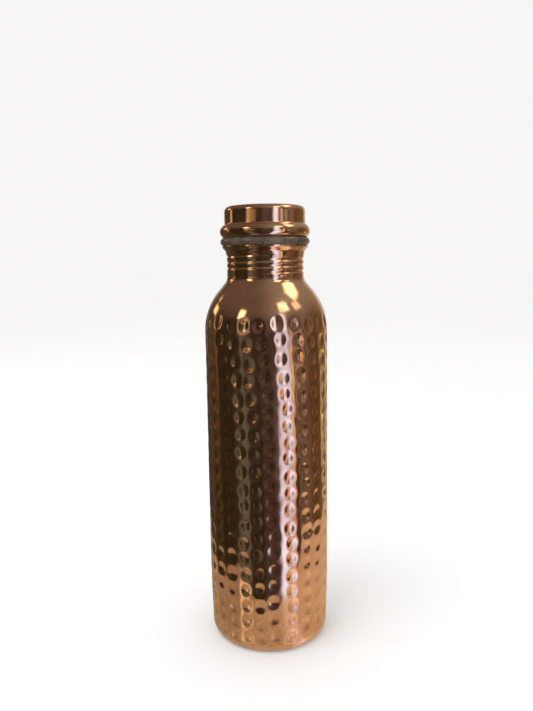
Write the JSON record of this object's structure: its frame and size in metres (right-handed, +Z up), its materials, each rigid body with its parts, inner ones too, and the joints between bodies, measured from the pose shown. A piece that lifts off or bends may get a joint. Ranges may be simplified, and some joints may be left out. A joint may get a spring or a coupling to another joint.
{
  "type": "water bottle",
  "caption": "Tall hammered copper water bottle with rounded shoulder, threaded neck, silicone seal and screw-on domed cap.",
  "frame": {"origin": "centre of the foot, on the surface that the bottle stands on", "axes": "+Z up along the bottle's axis, from the foot to the cap; +X and +Y are across it, and -Y is the front"},
  "size_m": [0.073, 0.073, 0.2605],
  "materials": {
    "hammered_copper": "polished copper, hammered below the shoulder",
    "polished_copper": "mirror-polished copper",
    "pressed_copper": "bright pressed copper, not polished",
    "brazing_alloy": "satin, as brazed",
    "soft_solder": "dull, as flowed",
    "silicone": "translucent grey-white, matt"
  },
  "bodies": {
    "bottle": {"body_shell": "hammered_copper", "base_disc": "pressed_copper", "base_braze": "brazing_alloy"},
    "seal": {"seal_ring": "silicone"},
    "cap": {"cap_shell": "polished_copper", "cap_plug": "pressed_copper", "cap_solder": "soft_solder"}
  },
  "joints": [
    {"name": "cap_rise", "type": "slide", "parent": "bottle", "child": "seal", "axis": [0, 0, 1], "range_m": [0, 0.0341]},
    {"name": "cap_turn", "type": "hinge", "parent": "seal", "child": "cap", "pos_m": [0, 0, 0.2393], "axis": [0, 0, 1], "range_deg": [0, 3600]}
  ],
  "couplings": [
    {"joint": "cap_rise", "follows": "cap_turn", "m_per_rad": 0.00054113}
  ]
}
